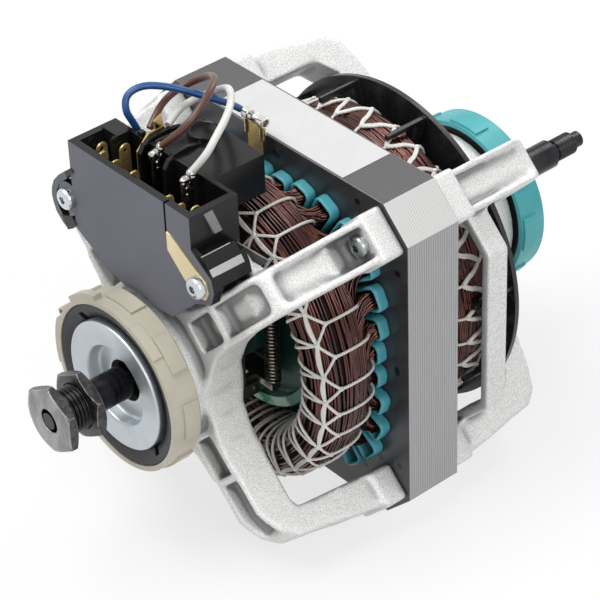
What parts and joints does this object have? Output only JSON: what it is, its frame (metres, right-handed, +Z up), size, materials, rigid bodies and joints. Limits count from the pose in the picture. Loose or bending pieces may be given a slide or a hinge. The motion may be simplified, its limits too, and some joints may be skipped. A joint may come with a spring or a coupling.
{
  "type": "dryer motor",
  "caption": "Open-frame single-phase dryer motor with square laminated stator, cast end frames, start switch, governor, fan, and belt and blower shaft ends.",
  "frame": {"origin": "on the shaft's axis, in the middle of the laminated stack", "axes": "+Y along the shaft towards the blower end, +Z up to the switch, +X to the right seen from the belt end"},
  "size_m": [0.1406, 0.2695, 0.1728],
  "materials": {
    "lamination_steel": "varnished laminations",
    "slot_insulation": "folded polyester film",
    "copper": "enamelled copper wire",
    "lacing_cord": "waxed polyester cord",
    "cast_aluminium": "as-cast, blasted",
    "zinc_steel": "zinc plated",
    "bolt_steel": "zinc plated",
    "black_rubber": "moulded",
    "beige_plastic": "moulded",
    "teal_plastic": "moulded",
    "black_plastic": "moulded",
    "green_plastic": "moulded",
    "brass": "stamped",
    "solder": "bright",
    "bronze": "sintered",
    "felt": "oiled felt",
    "shaft_steel": "ground",
    "nut_steel": "machined",
    "blue_lead": "insulated wire",
    "brown_lead": "insulated wire",
    "white_lead": "insulated wire",
    "label_paper": "bare paper"
  },
  "bodies": {
    "stator": {"stator_core": "lamination_steel", "slot_liners": "slot_insulation", "coil_sides": "copper", "front_end_winding": "copper", "rear_end_winding": "copper", "front_lacing": "lacing_cord", "rear_lacing": "lacing_cord", "front_end_frame": "cast_aluminium", "rear_end_frame": "cast_aluminium", "frame_bolts": "bolt_steel", "front_mount_ring": "beige_plastic", "rear_mount_ring": "teal_plastic", "front_rubber_ring": "black_rubber", "rear_rubber_ring": "black_rubber", "front_dust_cap": "zinc_steel", "rear_dust_cap": "zinc_steel", "front_bearing": "bronze", "rear_bearing": "bronze", "front_felt": "felt", "rear_felt": "felt", "switch_housing": "black_plastic", "switch_rear_housing": "black_plastic", "switch_terminals": "brass", "switch_screws": "bolt_steel", "ground_strap": "brass", "switch_lever_pin": "bolt_steel", "lead_blue": "blue_lead", "lead_brown": "brown_lead", "lead_white": "white_lead", "solder_joints": "solder", "flag_terminal": "brass", "protector_tab": "brass", "rating_label": "label_paper"},
    "rotor": {"rotor_shaft": "shaft_steel", "threaded_stub": "nut_steel", "outer_nut": "nut_steel", "jam_nut": "nut_steel", "rotor_core": "lamination_steel", "rotor_end_rings": "cast_aluminium", "front_thrust_washer": "green_plastic", "rear_thrust_washer": "green_plastic", "cooling_fan": "black_plastic", "governor_base": "zinc_steel", "governor_pins": "bolt_steel", "governor_springs": "shaft_steel"},
    "collar": {"governor_collar": "green_plastic"},
    "upper_weight": {"upper_weight": "zinc_steel"},
    "lower_weight": {"lower_weight": "zinc_steel"},
    "lever": {"switch_lever": "black_plastic"}
  },
  "joints": [
    {"name": "rotor_spin", "type": "hinge", "parent": "stator", "child": "rotor", "pos_m": [0, 0, 0], "axis": [0, 1, 0], "continuous": true},
    {"name": "collar_slide", "type": "slide", "parent": "rotor", "child": "collar", "axis": [0, 1, 0], "range_m": [0, 0.003], "stiffness_N_per_m": 400, "springref_m": -0.002},
    {"name": "upper_weight_swing", "type": "hinge", "parent": "rotor", "child": "upper_weight", "pos_m": [0, -0.041, 0.019], "axis": [1, 0, 0], "range_deg": [0, 17.6]},
    {"name": "lower_weight_swing", "type": "hinge", "parent": "rotor", "child": "lower_weight", "pos_m": [0, -0.041, -0.019], "axis": [-1, 0, 0], "range_deg": [0, 17.6]},
    {"name": "switch_lever_swing", "type": "hinge", "parent": "stator", "child": "lever", "pos_m": [0, -0.052, 0.062], "axis": [1, 0, 0], "range_deg": [0, 6.6]}
  ],
  "couplings": [
    {"joint": "upper_weight_swing", "follows": "collar_slide", "rad_per_m": 102},
    {"joint": "lower_weight_swing", "follows": "collar_slide", "rad_per_m": 102},
    {"joint": "switch_lever_swing", "follows": "collar_slide", "rad_per_m": 38}
  ]
}
